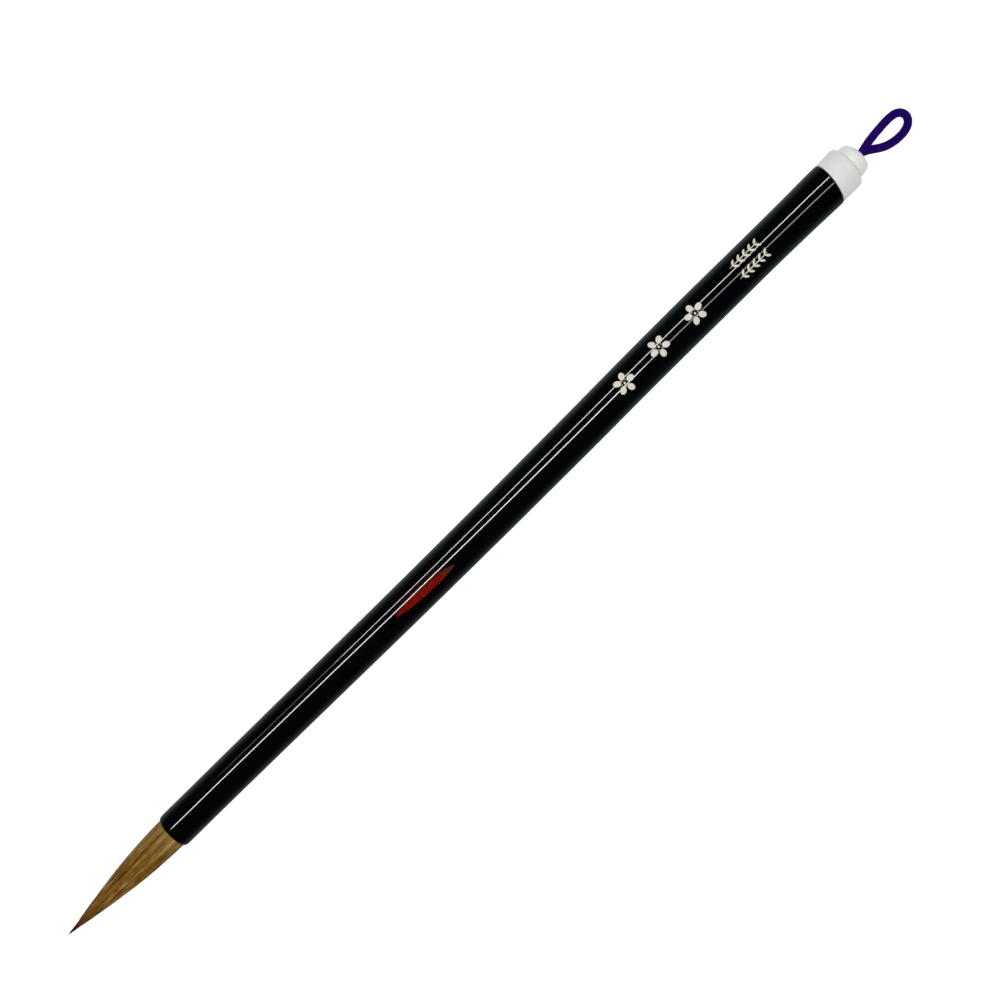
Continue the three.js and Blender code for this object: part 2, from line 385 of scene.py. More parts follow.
def lacquer_paint():
    """Black lacquer over a red coat, which shows where the black was rubbed through."""
    p = Paint("black_lacquer", specular_ior_level=0.1, coat_weight=1.0, coat_roughness=0.03)
    u, v, _ = p.split(p.place(by="UV"))
    x = p.maths("MULTIPLY", v, HANDLE_END)
    across = p.maths("MULTIPLY", u, math.pi * (MOUTH_RADIUS + HANDLE_END_RADIUS))
    # The rubbed streak: a slanting spindle with a ragged edge, and a faint veil of red above it.
    start, end, half_width = 66.6, 83.6, 1.02
    slant, offset = 0.045, 2.22
    middle = p.maths("SUBTRACT", p.maths("MULTIPLY", x, slant), offset)
    below = p.maths("SUBTRACT", across, middle)
    share = p.maths("DIVIDE", p.maths("SUBTRACT", x, start), end - start, clamp=True)
    arch = p.maths("MULTIPLY", p.maths("MULTIPLY", share, p.maths("SUBTRACT", 1.0, share)), 4.0)
    width = p.maths("MULTIPLY", p.maths("POWER", arch, 0.6), half_width)
    ragged = p.noise(p.place((0.5, 3.0, 3.0)), 1.0, 4.0, 0.65)
    inside = p.maths("SUBTRACT", width, p.maths("ABSOLUTE", below))
    inside = p.maths("ADD", inside, p.maths("MULTIPLY", p.maths("SUBTRACT", ragged, 0.5), 0.7))
    streak = p.maths("MULTIPLY", p.span(inside, -0.15, 0.4), p.span(arch, 0.0, 0.12))
    veil = p.maths("MULTIPLY", p.span(inside, -1.6, 0.1, 0.0, 0.18), p.span(below, 0.4, -0.4))
    veil = p.maths("MULTIPLY", veil, p.span(arch, 0.0, 0.6))
    grain = p.noise(p.place((0.6, 7.0, 7.0)), 1.0, 4.0, 0.7)
    red = p.ramp(
        grain,
        (0.3, (0.085, 0.002, 0.001)),
        (0.5, (0.17, 0.003, 0.0008)),
        (0.72, (0.26, 0.008, 0.003)),
    )
    rubbed = p.mix(p.span(share, 0.72, 1.0), red, (0.055, 0.024, 0.026))
    # Everywhere else the black is a little thinner in patches, with a trace of red or blue.
    patches = p.noise(p.place((0.04, 0.25, 0.25)), 1.0, 2.0)
    ground = p.ramp(
        patches,
        (0.38, (0.0006, 0.0012, 0.0018)),
        (0.55, (0.0003, 0.0009, 0.0006)),
        (0.7, (0.0012, 0.0007, 0.0009)),
    )
    p.drive(base_color=p.mix(p.maths("MAXIMUM", streak, veil), ground, rubbed))
    # Dust and hairline scratches along the handle.
    scratches = p.noise(p.place((0.1, 9.0, 9.0)), 1.0, 3.0, 0.6)
    dust = p.noise(p.place((2.6, 2.6, 2.6)), 1.0, 2.0, 0.6)
    worn = p.maths("MAXIMUM", p.span(scratches, 0.6, 0.75), p.span(dust, 0.66, 0.76))
    p.drive(roughness=p.maths("ADD", p.maths("MULTIPLY", worn, 0.2), 0.12))
    swell = p.noise(p.place((0.22, 0.4, 0.4)), 1.0, 2.0)
    pits = p.noise(p.place((1.1, 1.1, 1.1)), 1.0, 2.0, 0.6)
    height = p.maths("ADD", swell, p.maths("MULTIPLY", pits, 0.02))
    bump = p.node("Bump", {"Height": height, "Strength": 0.5, "Distance": 0.012 * MM}).outputs[0]
    return p.drive(normal=bump, coat_normal=bump).material


def bamboo_paint():
    """Cut bamboo: pale, with darker fibres along the tube."""
    p = Paint("bamboo", roughness=0.62)
    fibres = p.noise(p.place((0.15, 5.0, 5.0)), 1.0, 4.0, 0.65)
    rings = p.noise(p.place((0.02, 0.8, 0.8)), 1.0, 2.0)
    colour = p.ramp(
        fibres,
        (0.3, (0.3, 0.19, 0.08)),
        (0.55, (0.56, 0.42, 0.22)),
        (0.8, (0.66, 0.53, 0.31)),
    )
    p.drive(base_color=p.mix(p.maths("MULTIPLY", rings, 0.35), colour, (0.4, 0.28, 0.13)))
    return p.bump(fibres, 0.5, 0.05 * MM).material


def cap_paint():
    """Satin off-white moulding, a little warmer on the knob."""
    p = Paint("cap_plastic", subsurface_weight=0.12, subsurface_scale=1.2 * MM, ior=1.46)
    x = p.maths("MULTIPLY", p.split(p.place(by="UV"))[1], HANDLE_END)
    knob = p.span(x, KNOB_FOOT - 0.25, KNOB_FOOT + 0.15)
    clouds = p.noise(p.place((0.4, 0.4, 0.4)), 1.0, 2.0)
    collar = p.mix(clouds, (0.71, 0.725, 0.715), (0.745, 0.755, 0.742))
    warm = p.mix(clouds, (0.76, 0.765, 0.735), (0.795, 0.795, 0.765))
    p.drive(base_color=p.mix(knob, collar, warm))
    grain = p.noise(p.place((3.0, 3.0, 3.0)), 1.0, 3.0, 0.6)
    p.drive(roughness=p.span(grain, 0.2, 0.8, 0.36, 0.5))
    return p.bump(grain, 0.35, 0.02 * MM).material


def cord_paint():
    """Violet yarns, each a little redder or bluer, with fine filaments along it."""
    p = Paint("violet_cord", roughness=0.8, specular_ior_level=0.03, sheen_weight=0.03,
              sheen_roughness=0.4, sheen_tint=(0.3, 0.1, 0.9, 1))
    yarn = p.place((7.0, 40.0, 1.0), by="UV")
    flecks = p.noise(yarn, 3.0, 3.0, 0.7)
    whole = p.noise(p.place((9.0, 3.0, 1.0), by="UV"), 1.0, 1.0)
    violet = p.ramp(
        whole,
        (0.3, (0.003, 0.0004, 0.085)),
        (0.5, (0.011, 0.0006, 0.115)),
        (0.72, (0.045, 0.0008, 0.14)),
    )
    lit = p.mix(p.span(flecks, 0.56, 0.78, 0.0, 0.5), violet, (0.09, 0.012, 0.27))
    p.drive(base_color=p.mix(p.span(flecks, 0.42, 0.2), lit, (0.004, 0.001, 0.035)))
    filaments = p.noise(p.place((60.0, 700.0, 1.0), by="UV"), 1.0, 2.0)
    return p.bump(filaments, 0.5, 0.02 * MM).material


def hair_paint(name, ramp, light, dark_hair_and_shade):
    """Hair whose colour runs along the tuft, with lighter and darker locks and strands, partly the
    hair's own colour and partly painted: painted highlight on the lighter strands and painted
    shade between the locks on the darker ones. The surface's U runs round the tuft, strand by
    strand, and V from the mouth to the point."""
    p = Paint(name, roughness=0.6, specular_ior_level=0.08, sheen_weight=0.03,
              sheen_roughness=0.4, sheen_tint=(1.0, 0.8, 0.5, 1))
    _, v, _ = p.split(p.place(by="UV"))
    along = p.ramp(v, *ramp)
    fine = p.noise(p.place((173.0, 2.6, 1.0), by="UV"), 1.0, 3.0, 0.7)
    lock = p.noise(p.place((23.0, 1.1, 1.0), by="UV"), 1.0, 2.0)
    strand = p.mix(0.33, fine, lock)
    fades = p.span(v, 0.86, 0.7)  # the strands' own colours end where the point darkens
    # Lighter strands: partly the hair's own colour, partly painted highlight on the strands.
    tone = p.mix(p.maths("MULTIPLY", p.span(strand, 0.5, 0.62, 0.0, 0.95), fades), along, light)
    # Darker strands: partly the hair's own colour, partly painted shade in the gaps between locks.
    tone = p.mix(p.maths("MULTIPLY", p.span(strand, 0.5, 0.38, 0.0, 0.9), fades), tone, dark_hair_and_shade)
    p.drive(base_color=tone)
    scales = p.noise(p.place((60.0, 90.0, 1.0), by="UV"), 1.0, 2.0)
    return p.bump(scales, 0.25, 0.01 * MM).material


def plain_paint(name, low, high, grain, roughness, bump):
    """A material mottled between two colours at a grain in 1/mm, for what lies inside."""
    p = Paint(name, roughness=roughness)
    mottle = p.noise(p.place((grain,) * 3), 1.0, 4.0, 0.6)
    p.drive(base_color=p.ramp(mottle, (0.3, low), (0.7, high)))
    return p.bump(mottle, 0.5, bump * MM).material


# --- Hanging loop ---------------------------------------------------------------------------

CORD_WIDTH = 1.7
KNOT_TOP = axial("loop_knot", 1)

# The loop's centreline: [out from the cap, sideways, up from the axis]. It leaves along the axis
# and opens in a slanting plane: one side stays up, and the other sags to the surface that the
# brush rests on.
LOOP_ROUTE = [
    (1.3, -0.2, 0.87),
    (2.2, -0.37, 0.86),
    (3.3, -0.6, 0.82),
    (5.2, -0.86, 0.72),
    (7.4, -1.04, 0.57),
    (9.25, -1.14, 0.43),
    (10.85, -1.07, 0.33),
    (12.05, -0.77, 0.06),
    (13, -0.15, -0.52),
    (13.6, 0.65, -1.28),
    (13.8, 1.5, -2.1),
    (13.48, 2.33, -2.9),
    (12.7, 2.95, -3.52),
    (11.45, 3.28, -3.93),
    (9.7, 3.3, -4.08),
    (7.85, 3.02, -3.85),
    (6.1, 2.47, -3.2),
    (4.6, 1.74, -2.35),
    (3.2, 0.96, -1.55),
    (2.2, 0.44, -1.1),
    (1.3, 0.14, -0.9),
]
STRAND_OFFSET = 0.87  # inside the cap, the strands lie one above the other


def braid(build, line, carriers=8, lay=4.6, step=0.13):
    """Adds a cord of plain braid: as many yarns one way as the other, each over one and under one.
    Its ends are squeezed a little, where they go through the cap's hole."""
    line, reach = evenly(line, step)
    squeezed = np.minimum(reach, reach[-1] - reach)
    radius = CORD_WIDTH / 2 + 0.12 * smoothstep(3.0, 6.0, squeezed)
    tangent = np.gradient(line, axis=0)
    tangent /= np.linalg.norm(tangent, axis=1)[:, None]
    side = carried_across(tangent)
    up = np.cross(tangent, side)
    weave = 0.055  # how far a yarn rises over the next
    thick, wide = 0.13, 0.25
    middle = radius - thick - weave
    for way in (1, -1):
        for k in range(carriers):
            turn = 2 * math.pi * (k / carriers + way * reach / lay)
            out = side * np.cos(turn)[:, None] + up * np.sin(turn)[:, None]
            over = way * np.cos(2 * math.pi * carriers * reach / lay)
            yarn = line + out * (middle + weave * over)[:, None]
            number = (k + (0.5 if way > 0 else 0)) / carriers
            tube(build, yarn, wide, thick, 6, out=out, u=number, v=reach / reach[-1])
    core = middle - thick / 2
    tube(build, line[::4], core[::4], core[::4], 12, u=0.5, v=(reach / reach[-1])[::4])
    return line


def hanging_loop(cord):
    inside = [(out, 0, STRAND_OFFSET) for out in (KNOT_TOP - CAP_END - 0.2, -1.5, 0)]
    back = [(out, sideways, -up) for out, sideways, up in reversed(inside)]
    route = [(CAP_END + out, -sideways, up) for out, sideways, up in inside + LOOP_ROUTE + back]
    build = Build()
    line = braid(build, smooth_route(route))
    made = build.piece("braided_loop", cord)
    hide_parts("hanging_loop", "loop_neck")
    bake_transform(made)
    return made, [in_frame(*p) for p in line[::3]]


def end_knot(cord):
    """The overhand knot in the doubled cord, drawn up tight under the cap's hole."""
    low, high = axial("loop_knot", 0), KNOT_TOP
    middle, half = (low + high) / 2, (high - low) / 2
    rope = 0.62  # the cord is squeezed thin in the knot
    reach = radius_of("loop_knot") - 2 * rope
    t = np.linspace(0, 2 * math.pi, 240, endpoint=False)
    build = Build()
    for strand in (-1, 1):
        ring = 1.05 + 0.55 * np.cos(3 * t)
        x = middle + (half - rope) * np.sin(3 * t) * 0.8 + strand * 0.12
        y = reach * 0.62 * ring * np.cos(2 * t + strand * 0.3)
        z = reach * 0.62 * ring * np.sin(2 * t + strand * 0.3)
        line = np.stack([x, y, z], axis=1)
        out = line - (middle, 0, 0)
        tube(build, line, rope * 0.8, rope * 0.8, 10, out=out, u=0.5 + strand / 4, looped=True)
    made = build.piece("cord_knot", cord)
    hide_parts("loop_knot")
    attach(made, "handle")
    return made


# --- Handle ---------------------------------------------------------------------------------


def handle_radius(x):
    """The lacquered surface's radius: an even taper, which is a little slimmer between its ends
    and slimmest at a waist short of the cap."""
    taper = MOUTH_RADIUS + (HANDLE_END_RADIUS - MOUTH_RADIUS) * (x - LIP) / (HANDLE_END - LIP)
    waist_at, waist_reach = 178, 15
    slimmer = 0.045 + 0.13 * np.exp(-(((x - waist_at) / waist_reach) ** 2))
    return taper - slimmer * fading_ends(x)


def fading_ends(x):
    """Zero at both ends of the handle, and one between them."""
    return smoothstep(LIP, 10, x) * smoothstep(HANDLE_END, HANDLE_END - 10, x)


def natural_bamboo(x, turn, r):
    """The outside's swells and hollows, and the stem's slight bow to one side and back."""
    swell = 0.006 * np.sin(x / 9.1 + 1.3) + 0.005 * np.sin(x / 5.3 + 2 * np.sin(turn))
    first_end, second_start, second_length = 142, 124, 73.5
    bow = 0.33 * np.sin(math.pi * np.clip(x / first_end, 0, 1) ** 1.25) ** 1.4
    bow = bow - 0.175 * np.sin(math.pi * np.clip((x - second_start) / second_length, 0, 1))
    on_surface = r > SOCKET_RADIUS + 0.3
    return r + (swell * fading_ends(x) + bow * np.sin(turn)) * on_surface


def outside(r):
    """Zero inside the handle or the cap, and one at its surface."""
    return smoothstep(2.9, SEAT_RADIUS - 0.05, r)


def cut_end(x, turn, r):
    """Slants the joint with the cap, where the handle wasn't cut quite square. The slant fades
    over a few millimetres, faster along the handle than along the cap."""
    reach = np.where(x < HANDLE_END, 2, 5)
    fade = np.exp(-np.abs(x - HANDLE_END) / reach)
    return x - END_SLANT * np.sin(turn) * fade * outside(r)


def lacquered_handle(lacquer, bamboo):
    edge = lip_depth = 0.35
    lip = arc(LIP, MOUTH_RADIUS - lip_depth, LIP, 180, 90, 10, squash=lip_depth / LIP)
    near_end = HANDLE_END - np.geomspace(4, edge, 12)
    places = np.concatenate([np.linspace(LIP, HANDLE_END - 5, 156)[1:], near_end])
    stem = [(x, handle_radius(x)) for x in places]
    shoulder = [
        *arc(HANDLE_END - edge, HANDLE_END_RADIUS - edge, edge, 78, 0, 5),
        (HANDLE_END, SEAT_RADIUS + 0.1),
    ]
    inside = [
        (HANDLE_END, SEAT_RADIUS),
        (HANDLE_END - REAMED_DEPTH, SEAT_RADIUS),
        (HANDLE_END - REAMED_DEPTH, BORE_RADIUS),
        (REAMED_DEPTH, BORE_RADIUS),
        (REAMED_DEPTH, SOCKET_RADIUS),
        (0.3, SOCKET_RADIUS),
    ]
    outline = [(0.08, SOCKET_RADIUS + 0.06), *lip, *stem, *shoulder, *inside]
    slots = [0] * (len(outline) - len(inside)) + [1] * len(inside)
    build = Build()
    turned(build, outline, 160, slots, natural_bamboo, cut_end)
    made = build.piece("lacquered_handle", lacquer, bamboo, sharp=50)
    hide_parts("handle_tube")
    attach(made, "handle")


# --- End cap --------------------------------------------------------------------------------

COLLAR_FOOT = HANDLE_END + 0.05
KNOB_FOOT = CAP_END - 3.25


def moulded_cap(plastic):
    foot_radius, collar, knob, dome, shoulder = 4.82, 4.92, 3.72, 1.75, 0.98
    spigot, groove, hollow, hole = 3.62, 3.32, 2.75, 1.8
    foot = axial("end_cap", 0)
    glue = axial("cap_glue", 0) - 0.05, axial("cap_glue", 1) + 0.05
    roof = KNOT_TOP + 0.05
    edge = 0.15
    outline = [
        (foot + edge, hollow),
        (foot, hollow + edge),
        *arc(foot + 0.2, spigot - 0.2, 0.2, 180, 90, 4),
        (glue[0], spigot),
        (glue[0] + 0.05, groove),
        (glue[1] - 0.05, groove),
        (glue[1], spigot),
        (COLLAR_FOOT, spigot),
        *arc(COLLAR_FOOT + edge, foot_radius - edge, edge, 180, 95, 5),
        *arc(KNOB_FOOT - shoulder, collar - shoulder, shoulder, 90, 8, 14),
        *arc(KNOB_FOOT + 0.16, knob - 0.02, 0.16, 200, 110, 5),
        *arc(CAP_END - dome, knob - dome, dome, 90, 4, 18),
        *arc(CAP_END - edge, hole + edge, edge, 0, -90, 5)[1:],
        (roof, hole),
        (roof, hollow),
    ]

    def shape(x, turns, r):
        seam = np.exp(-((np.abs(np.abs(turns) - math.pi / 2) / 0.02) ** 2))
        seam = 0.012 * seam * ((r > spigot + 0.1) & (x < CAP_END - dome))
        askew = 0.2 * np.clip((x - HANDLE_END) / (CAP_END - HANDLE_END), 0, 1) * outside(r)
        return r + seam - askew * np.sin(turns)

    build = Build()
    turned(build, outline, 192, 0, shape, cut_end)
    made = build.piece("moulded_cap", plastic, sharp=60)
    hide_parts("end_cap")
    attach(made, "handle")


# --- Tuft -----------------------------------------------------------------------------------

TUFT_LENGTH = 32.7
TUFT_RADIUS = 3.6
ROOT_DEPTH = axial("outer_hair_root", 1)
CORE_RADIUS = 1.5
COVER_LENGTH = 20.0
LOCKS = 46  # that the hairs gather into towards the point


def tuft_radius(u):
    """The tuft's radius at a distance u outside the mouth."""
    share = np.clip(np.asarray(u, float) / TUFT_LENGTH, 0, 1)
    return TUFT_RADIUS * (1 - share**1.9) ** 1.37


def clump_ridges(turn, u, clumps, seed):
    """Soft ridges along the tuft, from -1 to 1, where its hairs gather."""
    rng = np.random.default_rng(seed)
    wander, phase = rng.uniform(-0.25, 0.25, 3), rng.uniform(0, 2 * math.pi, 3)
    total = 0.0
    for k, (drift, start) in enumerate(zip(wander, phase)):
        ridges = math.floor(clumps * (1 + 0.37 * k))
        total = total + np.sin(ridges * turn + start + drift * u / 4)
    return total / 3


def strands(build, count, first, last, radius, thickness, seed, lift):
    """Adds hairs that follow the tuft. first and last are ranges of distance outside the mouth
    where they start and end, radius(u) is where they lie, and the most wayward of them stands
    lift away from it at its end."""
    rng = random.Random(seed)
    for i in range(count):
        turn = 2 * math.pi * (i + rng.uniform(-0.5, 0.5)) / count
        lock = round(turn / (2 * math.pi) * LOCKS + rng.uniform(-0.5, 0.5))
        clump = 2 * math.pi * lock / LOCKS
        start = rng.uniform(*first)
        end = last[0] + (last[1] - last[0]) * rng.random() ** 0.7
        u = start + (end - start) * np.linspace(0, 1, 15) ** 0.85
        pull = 0.55 * smoothstep(0, TUFT_LENGTH, u)
        sway = 0.02 * np.sin(u / rng.uniform(3, 7) + rng.uniform(0, 6.3))
        depth = rng.uniform(-0.05, 0.03)
        stray = lift * rng.random() ** 6 * smoothstep(start, end, u) ** 2
        r = np.maximum(radius(u) + depth * radius(u) / TUFT_RADIUS + stray, 0.02)
        line = around(-u, r, turn + (clump - turn) * pull + sway)
        fine = thickness * rng.uniform(0.7, 1.25)
        taper = fine * (1 - 0.75 * smoothstep(0.55, 1, np.linspace(0, 1, len(u))))
        number = (lock + rng.uniform(-0.4, 0.4)) / LOCKS
        tube(build, line, taper, taper, 4, u=number, v=u / TUFT_LENGTH)


def hair_body(build, outline, clumps, seed, rough=0.025):
    """Adds the mass of hair under the strands, ridged along the tuft outside the mouth."""

    def shape(x, turns, r):
        exposed = smoothstep(0, 2, -x)
        return r * (1 + rough * exposed * clump_ridges(turns, -x, clumps, seed))

    turned(build, outline, 144, 0, shape)
    build.uvs[-1][:, 1] *= -HANDLE_END / TUFT_LENGTH  # V runs from the mouth to the point


def cover_hair(paint):
    """The outer layer: from the socket, over the core, to where its ends run into the point."""
    bore = CORE_RADIUS + 0.05
    inner_end = float(tuft_radius(COVER_LENGTH)) * 0.72
    surface = [(-u, float(tuft_radius(u)) * 0.955) for u in np.linspace(COVER_LENGTH + 5, 0, 70)]
    root, bound = 3.0, 2.83  # radii inside the handle, and where the thread binds it
    outline = [
        (-COVER_LENGTH, inner_end),
        *surface,
        (1.7, root),
        (3.1, bound),
        (6.2, bound),
        (ROOT_DEPTH, root),
        (ROOT_DEPTH, bore),
        (-BEND_AT, bore),
    ]
    build = Build()
    hair_body(build, outline, 23, 4)

    def skin(u):
        return tuft_radius(np.maximum(u, 0)) * 0.975

    strands(build, 760, (-1.4, -0.6), (17, 28), skin, thickness=0.105, seed=7, lift=0.25)
    made = build.piece("cover_hair", paint)
    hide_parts("outer_hair_root", "outer_hair_tip")
    return made


def core_hair(paint):
    """The stiffer heart of the tuft, which forms its point."""
    places = np.linspace(TUFT_LENGTH - 0.02, COVER_LENGTH + 1, 40)
    top = [(-u, float(tuft_radius(u)) * 0.93) for u in places]
    outline = [
        (-TUFT_LENGTH, 0),
        *top,
        (-COVER_LENGTH, float(tuft_radius(COVER_LENGTH)) * 0.7),
        (-BEND_AT, CORE_RADIUS),
        (0, CORE_RADIUS),
        (ROOT_DEPTH, CORE_RADIUS),
        (ROOT_DEPTH, 0),
    ]
    build = Build()
    hair_body(build, outline, 17, 9, 0.02)

    def skin(u):
        return tuft_radius(u) * 0.95

    strands(build, 240, (17, 20), (28, 30.9), skin, thickness=0.075, seed=3, lift=0.1)
    made = build.piece("core_hair", paint)
    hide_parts("core_hair_root", "core_hair_tip")
    return made


def tuft():
    brown = (
        (0.0, (0.27, 0.165, 0.032)),
        (0.12, (0.225, 0.118, 0.014)),
        (0.35, (0.198, 0.084, 0.003)),
        (0.6, (0.2, 0.083, 0.002)),
        (0.76, (0.205, 0.085, 0.006)),
        (0.84, (0.13, 0.048, 0.01)),
        (0.885, (0.08, 0.014, 0.01)),
        (0.93, (0.02, 0.005, 0.007)),
    )
    # The last two colours are the lighter strands, partly painted highlight, and the darker
    # strands, partly painted shade between locks.
    paint = hair_paint("golden_hair", brown, (0.5, 0.34, 0.13), (0.05, 0.018, 0.0))
    core = hair_paint("core_hair", brown, (0.4, 0.21, 0.05), (0.05, 0.016, 0.0))
    for made, slot in ((cover_hair(paint), "outer_hair"), (core_hair(core), "core_hair")):
        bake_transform(made)


# --- Inside the mouth and the cap -----------------------------------------------------------


def ride_as(build, name, material, node):
    """Makes a piece that stands for one CAD node of the handle body."""
    made = build.piece(name, material, sharp=50)
    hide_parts(node)
    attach(made, "handle")


def binding_thread():
    """A thread of three plies, wound round the tuft's root."""
    low, high = axial("binding_thread", 0), axial("binding_thread", 1)
    radius, turns, plies = 0.17, 6, 3
    winding = radius_of("binding_thread") - radius
    t = np.linspace(0, 1, turns * 60)
    turn = 2 * math.pi * turns * t
    x = low + radius + (high - low - 2 * radius) * t
    build = Build()
    for ply in range(plies):
        twist = 2 * math.pi * (ply / plies + turns * 7 * t)
        off = radius * 0.46
        line = around(x + off * np.sin(twist), winding + off * np.cos(twist), turn)
        tube(build, line, radius * 0.52, radius * 0.52, 6, u=ply / plies, v=t)
    thread = plain_paint("waxed_thread", (0.5, 0.42, 0.28), (0.78, 0.72, 0.58), 6.0, 0.7, 0.03)
    ride_as(build, "wound_thread", thread, "binding_thread")


def root_seal():
    """The drop of rosin that fuses the root's butt."""
    low, high = axial("root_seal", 0), axial("root_seal", 1)
    radius, edge = 2.97, 0.3
    rim = arc(high - edge, radius - edge, edge, 90, 0, 6)
    outline = [(low, 0), (low, radius), *rim, (high, 0)]
    build = Build()
    turned(build, outline, 96, 0, lambda x, turns, r: r * (1 + 0.012 * np.sin(5 * turns + x)))
    rosin = plain_paint("rosin", (0.06, 0.02, 0.006), (0.2, 0.08, 0.02), 1.5, 0.3, 0.05)
    ride_as(build, "rosin_seal", rosin, "root_seal")


def glue_bed(glue):
    """The adhesive that fills the socket round and behind the root."""
    low, high = axial("glue_bed", 0), axial("glue_bed", 1)
    wall, inner, floor = SOCKET_RADIUS - 0.05, 3.35, axial("root_seal", 1) + 0.05
    outline = [
        (floor, 0),
        (floor, inner),
        (low + 0.4, inner),
        *arc(low + 0.2, (wall + inner) / 2, 0.2, 250, 110, 5, squash=0.8),
        (low + 0.4, wall),
        (high, wall),
        (high, 0),
    ]
    build = Build()
    turned(build, outline, 96)
    ride_as(build, "socket_glue", glue, "glue_bed")


def cap_glue(glue):
    """The ring of adhesive in the spigot's groove."""
    low, high = axial("cap_glue", 0), axial("cap_glue", 1)
    inner, outer, edge = 3.37, SEAT_RADIUS - 0.025, 0.1
    outline = [
        (low, inner),
        *arc(low + edge, outer - edge, edge, 180, 90, 4),
        *arc(high - edge, outer - edge, edge, 90, 0, 4),
        (high, inner),
    ]
    build = Build()
    turned(build, outline, 96)
    ride_as(build, "cap_glue_ring", glue, "cap_glue")


# --- Printed ornament -----------------------------------------------------------------------


def printed(build, centre, outline, layers=4):
    """Adds a patch of ink on the handle. Its outline is a ring of (along, across) points round a
    centre, in millimetres, and the patch follows the handle's surface."""
    ink, sunk = 0.022, -0.015
    outline = np.asarray(outline, float)
    count = len(outline)
    rings = [outline * share for share in np.linspace(1, 0, layers + 1)[:-1]]
    flat = np.vstack([*rings, [(0, 0)]]) + np.asarray(centre)
    points = []
    for height in (ink, sunk):
        turn = flat[:, 1] / handle_radius(flat[:, 0])
        surface = natural_bamboo(flat[:, 0], turn, handle_radius(flat[:, 0]))
        points.append(around(flat[:, 0], surface + height, turn))
    sheet = []
    for ring in range(layers - 1):
        for k in range(count):
            n = (k + 1) % count
            low, high = ring * count, (ring + 1) * count
            sheet.append((low + k, low + n, high + n, high + k))
    last, tip = (layers - 1) * count, layers * count
    sheet += [(last + k, last + (k + 1) % count, tip) for k in range(count)]
    under = [tuple(i + tip + 1 for i in reversed(face)) for face in sheet]
    rim = [(k, (k + 1) % count, tip + 1 + (k + 1) % count, tip + 1 + k) for k in range(count)]
    build.add(np.vstack(points), sheet + under + rim, np.tile((flat - centre), (2, 1)))


def oval(length, width, turn, reach, sides=22, point=1.0):
    """A petal's or leaf's centre, at a reach and a turn from its flower's, and the ring of points
    round it. A larger point makes its ends sharper."""
    a = np.linspace(0, 2 * math.pi, sides, endpoint=False)
    x = length / 2 * np.cos(a)
    y = width / 2 * np.sign(np.sin(a)) * np.abs(np.sin(a)) ** point
    c, s = math.cos(turn), math.sin(turn)
    centre = np.array((c, s)) * reach
    return centre, np.stack([c * x - s * y, s * x + c * y], axis=1)


def printed_ornament():
    """Three blossoms and a small spray of leaves, in cream ink."""
    build = Build()

    def stamp(centre, length, width, turn, reach, point=1.0):
        offset, outline = oval(length, width, turn, reach, point=point)
        printed(build, np.asarray(centre) + offset, outline)

    for number, place in enumerate(((136.05, -0.5), (146.55, -0.9), (156.95, -0.55))):
        for petal in range(5):
            turn = 2 * math.pi * (petal + 0.35 * number) / 5
            stamp(place, 1.75, 1.36, turn, 1.62)
            stamp(place, 0.26, 0.2, turn + math.pi / 5, 0.72)
        stamp(place, 0.5, 0.5, 0, 0)
    for across in (-2.15, 1.0):
        stamp((172.9, across), 8.2, 0.26, 0, 0)
        for step in range(5):
            for way in (-1, 1):
                stamp((169.6 + 1.6 * step, across), 1.45, 0.52, way * 0.75, 0.85, point=1.4)
    p = Paint("cream_ink", roughness=0.5)
    worn = p.noise(p.place((5.0, 5.0, 5.0)), 1.0, 3.0, 0.7)
    p.drive(base_color=p.ramp(worn, (0.25, (0.5, 0.46, 0.36)), (0.5, (0.72, 0.68, 0.57))))
    made = build.piece("printed_ornament", p.bump(worn, 0.3, 0.01 * MM).material, sharp=50)
    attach(made, "handle")


# --- Studio ---------------------------------------------------------------------------------

FLOOR_GLOW = 0.75  # a pale lit table, so that the brush hardly darkens it
ROOM_ABOVE = 0.012  # the room's brightness overhead
LAMP_HEIGHT = 0.6
LAMP_SLANT = -0.6  # across for each unit along


def add_floor():
    """A wide pale table, and a wall of the same paint round it."""
    p = Paint("studio_floor", roughness=0.8, specular_ior_level=0.1)
    shade = p.noise(p.place((0.02, 0.02, 0.02)), 1.0, 1.0)
    p.drive(base_color=p.ramp(shade, (0.0, 0.7), (1.0, 0.72)))
    p.shader.inputs["Emission Color"].default_value = (1, 1, 1, 1)
    p.shader.inputs["Emission Strength"].default_value = FLOOR_GLOW
    mesh = bpy.data.meshes.new("floor")
    half = 2.5
    corners = [(-half, -half, 0), (half, -half, 0), (half, half, 0), (-half, half, 0)]
    mesh.from_pydata(corners, [], [(0, 1, 2, 3)])
    mesh.materials.append(p.material)
    floor = bpy.data.objects.new("floor", mesh)
    floor.location.z = -0.02 * MM
    floor.visible_glossy = False  # the lacquer shows the room's dim light there instead
    bpy.context.scene.collection.objects.link(floor)
    add_backdrop(p.material)


def add_backdrop(paint):
    """A pale wall all round, which only the camera sees."""
    sides, radius, height = 64, 2.4, 3.0
    turns = np.linspace(0, 2 * math.pi, sides, endpoint=False)
    ring = np.stack([radius * np.cos(turns), radius * np.sin(turns), 0 * turns], axis=1)
    points = np.vstack([ring, ring + (0, 0, height)])
    faces = [(k, (k + 1) % sides, sides + (k + 1) % sides, sides + k) for k in range(sides)]
    mesh = bpy.data.meshes.new("backdrop")
    mesh.from_pydata(points.tolist(), [], faces)
    mesh.materials.append(paint)
    wall = bpy.data.objects.new("backdrop", mesh)
    for kind in ("diffuse", "glossy", "transmission", "shadow"):
        setattr(wall, "visible_" + kind, False)
    bpy.context.scene.collection.objects.link(wall)


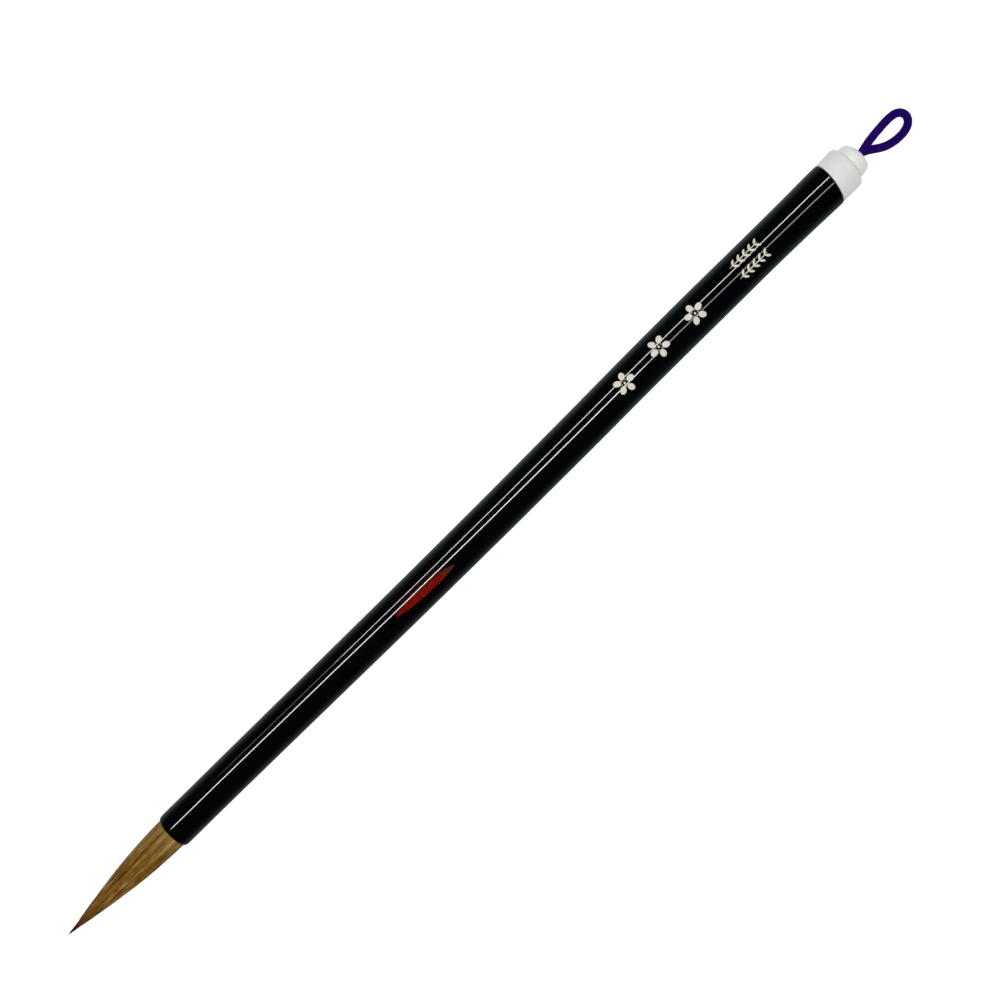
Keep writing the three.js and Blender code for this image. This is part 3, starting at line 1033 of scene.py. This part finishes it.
def add_room():
    """Dim light from all round for the gloss: darkest overhead, and brighter low down."""
    world = bpy.data.worlds.new("studio")
    room = Nodes(world)
    _, y, z = room.split(room.node("TexCoord").outputs["Generated"])
    side = room.span(y, -0.5, 0.9, 0.19, 0.34)
    strength = room.mix(room.span(z, 0.3, -0.9), (ROOM_ABOVE,) * 3, side)
    sky = room.nodes["Background"]
    sky.inputs["Color"].default_value = (0.78, 0.9, 1.0, 1)
    room.links.new(strength, sky.inputs["Strength"])
    bpy.context.scene.world = world


def add_light(name, place, size, power, turn=0.0, **visible):
    """An area light that faces down. Its place is from the point under the camera, in metres."""
    data = bpy.data.lights.new(name, "AREA")
    data.shape = "RECTANGLE"
    data.size, data.size_y = size
    data.energy = power
    light = bpy.data.objects.new(name, data)
    light.location = in_frame(*AIM) + Vector(place)
    light.rotation_euler.z = turn
    for kind, seen in visible.items():
        setattr(light, "visible_" + kind, seen)
    bpy.context.scene.collection.objects.link(light)


def add_tube(name, start, end, width, radiance):
    """A slanting tube lamp, which only shows as a line in the gloss."""
    start, end = Vector(start), Vector(end)
    run = end - start
    middle = (start + end) / 2
    power = radiance * math.pi * run.length * width
    add_light(name, (*middle, LAMP_HEIGHT), (run.length, width), power,
              math.atan2(run.y, run.x), diffuse=False, transmission=False)


def add_studio():
    bpy.context.scene.view_settings.view_transform = "Standard"
    add_room()
    add_light("soft_box", (0, 0.1, 1.0), (2.4, 2.2), 26.0, glossy=False)
    # Each lamp: where it starts, changes brightness and ends along the brush, and its offset
    # across it halfway.
    lamps = {
        "far_tube": ((-0.3, -0.17, 0.4), 0.465, (3.5, 24.0), 0.036),
        "near_tube": ((-0.3, 0.107, 0.4), 0.043, (26.0, 8.0), 0.032),
    }
    for name, (stops, offset, radiances, width) in lamps.items():
        ends = [(x, offset + LAMP_SLANT * x) for x in stops]
        for part, radiance in enumerate(radiances):
            add_tube(f"{name}_{part}", ends[part], ends[part + 1], width, radiance)
    add_floor()


# --- Assembly -------------------------------------------------------------------------------

add_camera()
violet = cord_paint()
loop, loop_line = hanging_loop(violet)
knot = end_knot(violet)
lacquered_handle(lacquer_paint(), bamboo_paint())
moulded_cap(cap_paint())
tuft()
binding_thread()
root_seal()
adhesive = plain_paint("adhesive", (0.52, 0.4, 0.19), (0.72, 0.6, 0.34), 1.2, 0.35, 0.04)
glue_bed(adhesive)
cap_glue(adhesive)
printed_ornament()
add_studio()
